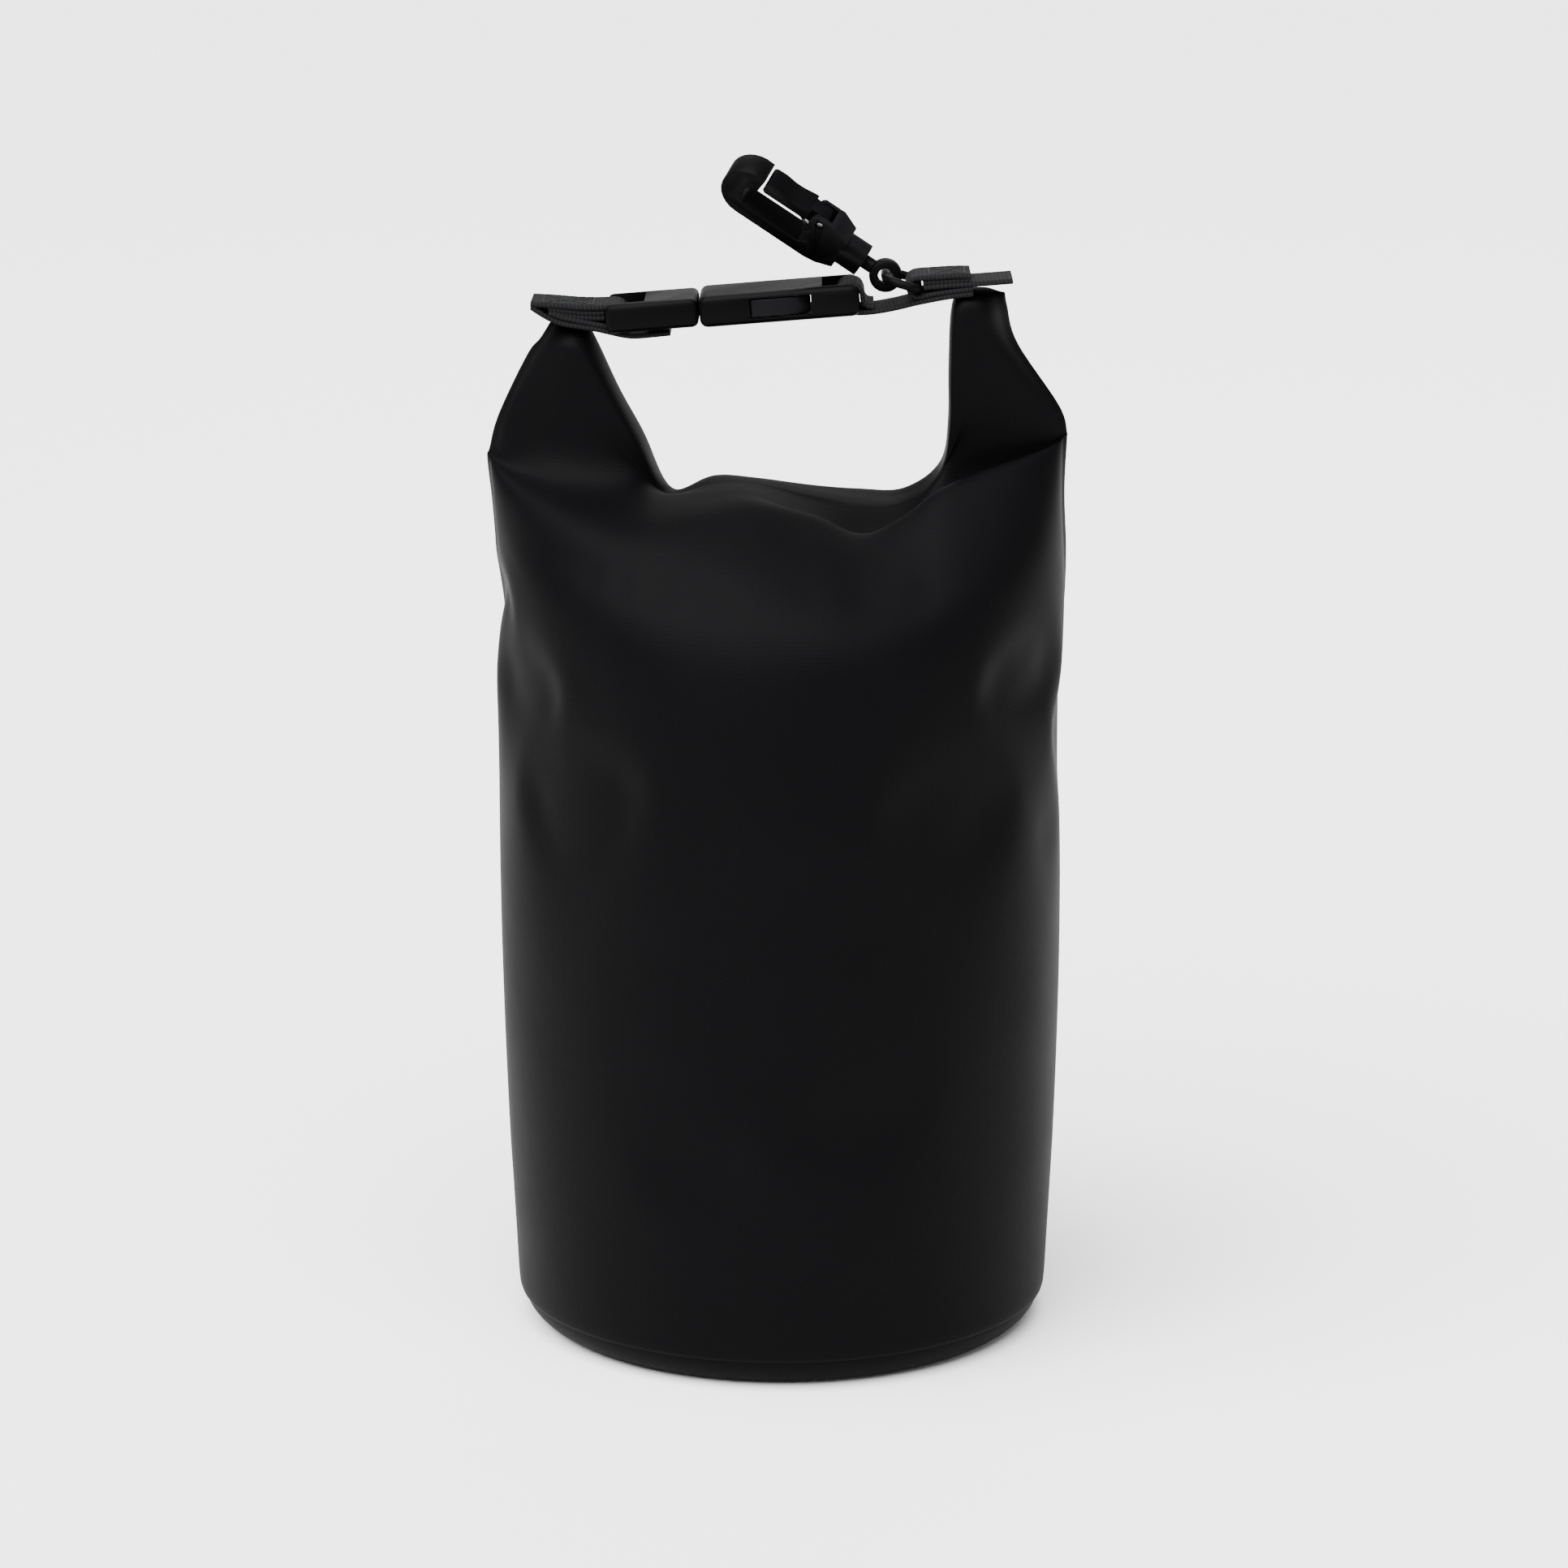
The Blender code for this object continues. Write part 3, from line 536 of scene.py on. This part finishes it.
def settle(piece):
    # let the filled cloth sag and crease, then keep the result as the piece's shape;
    # the dents differ a little between computers with different numbers of threads
    held = piece.vertex_groups.new(name="held")
    for vertex in piece.data.vertices:
        held.add([vertex.index], heldAt(vertex.co.z / mm), "REPLACE")
    modifier = piece.modifiers.new("sag", "CLOTH")
    for setting, value in cloth.items():
        setattr(modifier.settings, setting, value)
    modifier.settings.effector_weights.gravity = sag["weight"]
    modifier.collision_settings.use_collision = False
    modifier.point_cache.frame_end = sag["frames"]
    start = [vertex.co.copy() for vertex in piece.data.vertices]
    for step in range(1, sag["frames"] + 1):
        bpy.context.scene.frame_set(step)
    settled = piece.evaluated_get(bpy.context.evaluated_depsgraph_get()).data
    moves = [vertex.co - old for vertex, old in zip(settled.vertices, start)]
    piece.modifiers.clear()
    piece.vertex_groups.clear()
    bpy.context.scene.frame_set(1)
    limit = sag["limit"] * mm
    for vertex, old, move in zip(piece.data.vertices, start, moves):
        vertex.co = old + (move * (limit / move.length) if move.length > limit else move)
    furthest = round(max(move.length for move in moves) / mm, 1)
    print("cloth would move by up to", furthest, "mm and is kept to", sag["limit"], "mm")


shellPiece = buildShell()
settle(shellPiece)
rounding = shellPiece.modifiers.new("rounding", "SUBSURF")
rounding.levels = 1
applyModifiers(shellPiece)
bpy.ops.object.shade_smooth()
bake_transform(shellPiece)
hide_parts("body_panel", "left_ear_root", "left_ear_end", "right_ear", "roll_top",
            "mouth_stiffener")
print("tarpaulin shell has", len(shellPiece.data.vertices), "points")


# ---- frames of the handle and of the hook, taken from the joints

def jointNamed(name):
    return next(j for j in frame["joints"] if j["name"] == name)


def frameFrom(origin, x, y, z):
    turned = Matrix((x, y, z)).transposed().to_4x4()
    return Matrix.Translation(origin) @ turned


handleX = -Vector(jointNamed("buckle_release")["axis"]).normalized()
handleY = Vector(jointNamed("ring_swing")["axis"]).normalized()
handleZ = handleX.cross(handleY)
ringBar = Vector((41.2, 0, 1.8))      # mm, the ring's straight side, measured along the handle
handleOrigin = Vector(jointNamed("ring_swing")["pos_m"]) - (handleX * ringBar.x + handleZ * ringBar.z) * mm
handle = frameFrom(handleOrigin, handleX, handleY, handleZ)
print("handle line rises", round(math.degrees(math.asin(handleX.z)), 1), "degrees towards the hook")


def finishPiece(piece, body, slotName, *replaced):
    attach(piece, body)
    if replaced:
        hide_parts(*replaced)
    return piece


# ---- the moulded base, turned up inside the tube

base = {
    "radius": 81.2,
    "sides": 160,
    "corner": 11,
    "cornerSteps": 9,
    "flange": 26.5,        # mm, how far its wall runs up inside the tube
    "wall": 1.2,
    "recess": 0.6,         # the middle of the underside stands this far off the floor
    "recessRadius": 56,
    "recessSlope": 1.5,
    "middle": 6,           # radius of the innermost ring of faces
}


def selectFaces(piece, test):
    # edit mode, with the faces selected that pass a test on centre and normal
    select(piece)
    bpy.ops.object.mode_set(mode="EDIT")
    bpy.ops.mesh.select_mode(type="FACE")
    bpy.ops.mesh.select_all(action="DESELECT")
    edit = bmesh.from_edit_mesh(piece.data)
    for face in edit.faces:
        face.select_set(bool(test(face.calc_center_median(), face.normal)))
    bmesh.update_edit_mesh(piece.data)


def buildBase():
    bpy.ops.object.select_all(action="DESELECT")
    bpy.ops.mesh.primitive_cylinder_add(
        vertices=base["sides"], radius=base["radius"] * mm, depth=base["flange"] * mm,
        location=(0, 0, base["flange"] / 2 * mm))
    piece = bpy.context.object
    piece.name = "baseCup"
    bpy.ops.object.transform_apply(location=True, rotation=True, scale=True)
    selectFaces(piece, lambda at, normal: normal.z > 0.9)
    bpy.ops.mesh.delete(type="FACE")
    selectFaces(piece, lambda at, normal: normal.z < -0.9)
    bpy.ops.mesh.region_to_loop()
    bpy.ops.mesh.bevel(offset=base["corner"] * mm, segments=base["cornerSteps"], affect="EDGES")
    selectFaces(piece, lambda at, normal: normal.z < -0.999 and at.z < 0.01 * mm)
    bpy.ops.mesh.inset(thickness=(base["radius"] - base["corner"] - base["recessRadius"]) * mm)
    bpy.ops.mesh.inset(thickness=base["recessSlope"] * mm)
    bpy.ops.transform.translate(value=(0, 0, base["recess"] * mm))
    bpy.ops.mesh.inset(thickness=(base["recessRadius"] - base["middle"]) * mm)
    bpy.ops.mesh.poke()
    bpy.ops.object.mode_set(mode="OBJECT")
    cleanMesh(piece, 0.005)
    wall = piece.modifiers.new("wall", "SOLIDIFY")
    wall.thickness = base["wall"] * mm
    wall.offset = -1
    applyModifiers(piece)
    bpy.ops.object.shade_smooth_by_angle(angle=math.radians(30))
    piece.data.materials.append(tarpaulinFinish)
    return finishPiece(piece, "root", "tarpaulin", "base_disc")


basePiece = buildBase()
print("base cup is", round(basePiece.dimensions.x * 1000, 1), "mm across")


# ---- seam tape welded down the back

seamTape = {
    "halfWidth": 0.145,    # share of a quarter turn
    "low": 13,
    "high": 199,
    "thick": 0.55,
    "outward": 0.8,        # how its thickness lies: 1 is all outside the tube, 0 is half
    "edge": 0.15,
    "rows": 64,
    "across": 14,
}


def buildSeamTape():
    count = seamTape["across"]
    points = []
    for i in range(seamTape["rows"] + 1):
        z = seamTape["low"] + (seamTape["high"] - seamTape["low"]) * i / seamTape["rows"]
        points += [tubePoint(1, seamTape["halfWidth"] * (2 * j / count - 1), z) for j in range(count + 1)]
    row = count + 1
    faces = [(i * row + j, i * row + j + 1, (i + 1) * row + j + 1, (i + 1) * row + j)
             for i in range(seamTape["rows"]) for j in range(count)]
    piece = pieceFromPoints("backSeamTape", points, faces, tarpaulinFinish)
    cling = piece.modifiers.new("cling", "SHRINKWRAP")
    cling.target = shellPiece
    applyModifiers(piece)
    cleanMesh(piece, merge=0)
    if piece.data.polygons[0].normal.y < 0:
        piece.data.flip_normals()
    wall = piece.modifiers.new("wall", "SOLIDIFY")
    wall.thickness = seamTape["thick"] * mm
    wall.offset = seamTape["outward"]
    edge = piece.modifiers.new("edge", "BEVEL")
    edge.width = seamTape["edge"] * mm
    edge.segments = 2
    applyModifiers(piece)
    bpy.ops.object.shade_smooth_by_angle(angle=math.radians(30))
    return finishPiece(piece, "root", "tarpaulin", "back_seam_tape")


buildSeamTape()
print("seam tape follows the back")


# ---- woven webbing: straps bent along a line in the handle's frame

strap = {
    "width": 25,
    "thick": 1.5,
    "edge": 0.45,
    "step": 0.9,           # mm between two rows of points along a strap
    "fillingWidth": 24.4,
}


def smoothPath(points, step):
    # even steps along a Catmull-Rom line through the points
    dense = []
    last = len(points) - 1
    for i in range(last):
        p0, p1, p2, p3 = (Vector(points[max(0, min(last, i + k))]) for k in (-1, 0, 1, 2))
        for u in (k / 12 for k in range(12)):
            dense.append(0.5 * (2 * p1 + (p2 - p0) * u + (2 * p0 - 5 * p1 + 4 * p2 - p3) * u * u
                                + (3 * p1 - p0 - 3 * p2 + p3) * u ** 3))
    dense.append(Vector(points[-1]))
    lengths = [0]
    for a, b in zip(dense, dense[1:]):
        lengths.append(lengths[-1] + (b - a).length)
    count = max(2, round(lengths[-1] / step))
    even = []
    j = 0
    for i in range(count + 1):
        want = lengths[-1] * i / count
        while j < len(dense) - 2 and lengths[j + 1] < want:
            j += 1
        share = (want - lengths[j]) / max(1e-9, lengths[j + 1] - lengths[j])
        even.append(dense[j].lerp(dense[j + 1], min(1, share)))
    return even


def sectionOutline(width, thick, edge):
    # closed outline of a strap's section: (across, through)
    half, deep = width / 2, thick / 2
    side = [(half, 0), (half - edge * 0.3, deep * 0.62), (half - edge, deep)]
    inner = [(half * k / 4, deep) for k in (3, 1.5, 0, -1.5, -3)]
    top = side + inner + [(-y, t) for y, t in reversed(side)]
    return top + [(y, -t) for y, t in reversed(top[1:-1])]


def buildStrap(name, points, width=strap["width"], thick=strap["thick"]):
    path = smoothPath(points, strap["step"])
    outline = sectionOutline(width, thick, strap["edge"])
    count = len(outline)
    places = []
    for i, at in enumerate(path):
        run = (path[min(i + 1, len(path) - 1)] - path[max(i - 1, 0)]).normalized()
        places += [handle @ (Vector((at.x - run.y * t, y, at.y + run.x * t)) * mm) / mm for y, t in outline]
    faces = []
    for i in range(len(path) - 1):
        here, there = i * count, (i + 1) * count
        faces += [(here + j, there + j, there + (j + 1) % count, here + (j + 1) % count)
                  for j in range(count)]
    faces += [tuple(range(count)), tuple(range(len(places) - 1, len(places) - 1 - count, -1))]
    piece = pieceFromPoints(name, places, faces, webbingFinish)
    along = piece.data.uv_layers.new(name="alongStrap")
    for loop in piece.data.loops:
        row, spot = divmod(loop.vertex_index, count)
        along.data[loop.index].uv = (row * strap["step"] * mm, outline[spot][0] * mm)
    cleanMesh(piece, merge=0)
    bpy.ops.object.shade_smooth_by_angle(angle=math.radians(50))
    return piece


def joinInto(piece, extras):
    select(piece)
    for extra in extras:
        extra.select_set(True)
    bpy.ops.object.join()
    return piece


stitch = {
    "pitch": 2.6,
    "thick": 0.34,
    "gap": 0.1,            # share of the pitch left free at each end of a stitch
    "sides": 6,
    "flat": 0.8,           # height over width
    "shape": ((0, 0.25), (0.18, 1), (0.82, 1), (1, 0.25)),      # share of its length, share of its thickness
    "lift": 0.78,          # mm above the middle of the strap
    "boxHalfWidth": 9.8,
}


def stitchLine(start, end, height):
    # stitches along a straight run on a strap; height(x) gives the strap's top in the handle's frame
    a, b = Vector(start), Vector(end)
    count = max(1, round((b - a).length / stitch["pitch"]))
    found = []
    for i in range(count):
        low = a.lerp(b, (i + stitch["gap"]) / count)
        high = a.lerp(b, (i + 1 - stitch["gap"]) / count)
        found.append((Vector((low.x, low.y, height(low.x))), Vector((high.x, high.y, height(high.x)))))
    return found


def buildStitches(name, runs):
    points, faces = [], []
    shape, sides = stitch["shape"], stitch["sides"]
    for low, high in runs:
        along = high - low
        across = along.cross(Vector((0, 0, 1))).normalized()
        up = across.cross(along).normalized()
        first = len(points)
        for share, size in shape:
            for k in range(sides):
                turn = math.tau * k / sides
                offset = across * math.cos(turn) + up * (math.sin(turn) * stitch["flat"])
                points.append(handle @ ((low + along * share + offset * size * stitch["thick"]) * mm) / mm)
        rings = len(shape) - 1
        for here in range(first, first + rings * sides, sides):
            there = here + sides
            faces += [(here + k, there + k, there + (k + 1) % sides, here + (k + 1) % sides)
                      for k in range(sides)]
        faces += [tuple(first + k for k in range(sides)),
                  tuple(first + rings * sides + k for k in reversed(range(sides)))]
    piece = pieceFromPoints(name, points, faces, threadFinish)
    cleanMesh(piece, merge=0)
    bpy.ops.object.shade_smooth()
    return piece


def boxStitch(x0, x1, halfWidth, height):
    # a sewn rectangle with a cross in it
    runs = []
    for a, b in (((x0, -halfWidth), (x1, -halfWidth)), ((x1, -halfWidth), (x1, halfWidth)),
                 ((x1, halfWidth), (x0, halfWidth)), ((x0, halfWidth), (x0, -halfWidth)),
                 ((x0, -halfWidth), (x1, halfWidth)), ((x0, halfWidth), (x1, -halfWidth))):
        runs += stitchLine((*a, 0), (*b, 0), height)
    return runs


def heightAlong(points, lift):
    def height(x):
        line = sorted(points)
        for (x0, z0), (x1, z1) in zip(line, line[1:]):
            if x <= x1:
                return z0 + (z1 - z0) * (x - x0) / (x1 - x0) + lift
        return line[-1][1] + lift
    return height


# in millimetres along and above the handle line
leftStraps = {
    "wing": ((-75.2, 5.9), (-70.5, 5.3), (-66, 4.6), (-61, 3.8), (-57, 3.4), (-53, 3.15), (-50.7, 3.15),
             (-48.7, 2.5), (-47.5, 1.1), (-47.5, -1.1), (-48.6, -2.5), (-50.7, -3.1), (-54, -2.2),
             (-58, -1.1), (-62, 0), (-66, 1.2), (-70, 3)),
    "tail": ((-34, -6), (-39, -6.1), (-44.5, -6.1), (-48.2, -5.5), (-51.5, -4.5), (-56, -3.1), (-61, -1.9),
             (-66.2, -0.5), (-70.6, 1.7), (-75, 5)),
    "filling": ((-53.3, 1.6), (-56, 1.7), (-60, 2.1), (-65, 3), (-70, 4)),
    "innerFilling": ((-53.3, 0), (-56, 0.2), (-60, 0.7), (-65, 1.7), (-69, 2.9)),
}
rightStraps = {
    "long": ((27.6, -2.9), (25.6, -2.4), (24.5, -0.8), (24.35, 1.6), (23.3, 3.4), (21, 4), (18.7, 3.4),
             (17.4, 1.5), (17.4, -1.4), (18.7, -3.4), (21, -4.1), (27, -4.35), (34, -3.7), (41, -2.6),
             (50, -1.6), (57.6, -1.25)),
    "ringLoop": ((57.3, 4.1), (53.5, 4.4), (47, 4.55), (41.2, 4.55), (39.2, 3.7), (38.45, 1.8), (39.2, -0.1),
                 (41.2, -0.95), (46, -0.4), (51, -0.05), (57.6, 0.2)),
    "tail": ((42.95, 1.7), (51, 1.75), (57, 1.65), (61, 1.6), (69.8, 1.6)),
    "filling": ((42.95, 3.1), (51, 3), (56.8, 2.9)),
}

leftPiece = joinInto(buildStrap("leftWebbing", leftStraps["wing"]),
                     [buildStrap("leftTail", leftStraps["tail"]),
                      buildStrap("leftFilling", leftStraps["filling"], strap["fillingWidth"]),
                      buildStrap("leftInner", leftStraps["innerFilling"], strap["fillingWidth"])])
finishPiece(leftPiece, "left_end", "webbing", "left_webbing")
leftTop = heightAlong(leftStraps["wing"][:7], stitch["lift"])
leftBox = boxStitch(-71.5, -56.5, stitch["boxHalfWidth"], leftTop)
finishPiece(buildStitches("leftStitches", leftBox), "left_end", "webbing")
rightPiece = joinInto(buildStrap("rightWebbing", rightStraps["long"]),
                      [buildStrap("ringLoop", rightStraps["ringLoop"]),
                       buildStrap("rightTail", rightStraps["tail"]),
                       buildStrap("rightFilling", rightStraps["filling"], strap["fillingWidth"])])
finishPiece(rightPiece, "root", "webbing", "right_webbing")
rightTop = heightAlong(rightStraps["ringLoop"][:4], stitch["lift"])
rightBox = boxStitch(45, 55.5, stitch["boxHalfWidth"], rightTop)
finishPiece(buildStitches("rightStitches", rightBox), "root", "webbing")
print("webbing sewn")


# ---- moulded fittings: each keeps its working part's shape, with every edge rounded over

moulding = {
    "merge": 0.004,        # mm
    "flat": 0.8,           # degrees, faces that meet flatter than this are one
    "sharp": 24,           # degrees, edges sharper than this are rounded
    "smooth": 32,
    "segments": 2,
}


def moulded(part, name, finish, edge):
    piece = bpy.data.objects.new(name, frame["nodes"][part].data.copy())
    bpy.context.scene.collection.objects.link(piece)
    piece.data.materials.clear()
    piece.data.materials.append(finish)
    select(piece)
    bpy.ops.object.mode_set(mode="EDIT")
    bpy.ops.mesh.select_all(action="SELECT")
    bpy.ops.mesh.remove_doubles(threshold=moulding["merge"] * mm)
    bpy.ops.mesh.dissolve_limited(angle_limit=math.radians(moulding["flat"]))
    bpy.ops.object.mode_set(mode="OBJECT")
    if edge:
        bevel = piece.modifiers.new("softEdge", "BEVEL")
        bevel.width = edge * mm
        bevel.segments = moulding["segments"]
        bevel.limit_method = "ANGLE"
        bevel.angle_limit = math.radians(moulding["sharp"])
        applyModifiers(piece)
    bpy.ops.object.shade_smooth_by_angle(angle=math.radians(moulding["smooth"]))
    return piece


def smoothTube(part, name, finish):
    piece = moulded(part, name, finish, 0)
    rounding = piece.modifiers.new("rounding", "SUBSURF")
    rounding.levels = 1
    applyModifiers(piece)
    bpy.ops.object.shade_smooth()
    return piece


fittings = (
    ("buckle_female_shell", "buckleSocket", acetalFinish, 0.45, "root", "acetal"),
    ("buckle_male_frame", "bucklePlug", acetalFinish, 0.4, "left_end", "acetal"),
    ("buckle_arm_back", "backArm", acetalFinish, 0.35, "arm_back", "acetal"),
    ("buckle_arm_front", "frontArm", acetalFinish, 0.35, "arm_front", "acetal"),
    ("swivel_eye", "swivelEye", acetalFinish, 0.3, "eye", "acetal"),
    ("hook_body", "hookBody", acetalFinish, 0.7, "hook", "acetal"),
    ("hook_gate", "hookGate", acetalFinish, 0.5, "gate", "acetal"),
    ("gate_pin", "gatePin", steelFinish, 0.15, "hook", "spring_steel"),
)
for part, name, finish, edge, body, slotName in fittings:
    finishPiece(moulded(part, name, finish, edge), body, slotName, part)
finishPiece(smoothTube("d_ring", "ring", acetalFinish), "ring", "acetal", "d_ring")

hookZ = Vector(jointNamed("hook_swivel")["axis"]).normalized()
hookY = -Vector(jointNamed("gate_open")["axis"]).normalized()
hook = frameFrom(Vector(jointNamed("eye_tilt")["pos_m"]), hookY.cross(hookZ), hookY, hookZ)
# the gate's spring leaf, rounded and fixed where it stands
springPiece = smoothTube("gate_spring", "gateSpring", steelFinish)
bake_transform(springPiece)
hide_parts("gate_spring")
print("buckle, ring and hook moulded")


# ---- floor

bpy.ops.mesh.primitive_plane_add(size=studio["floorSize"], location=(0, 0, -0.0002))
floor = bpy.context.object
floor.name = "floor"
floorMaterial, _, floorShader, _ = newMaterial("paleFloor", 0.6)
floorShader.inputs["Base Color"].default_value = (0.94, 0.94, 0.94, 1)
floor.data.materials.append(floorMaterial)
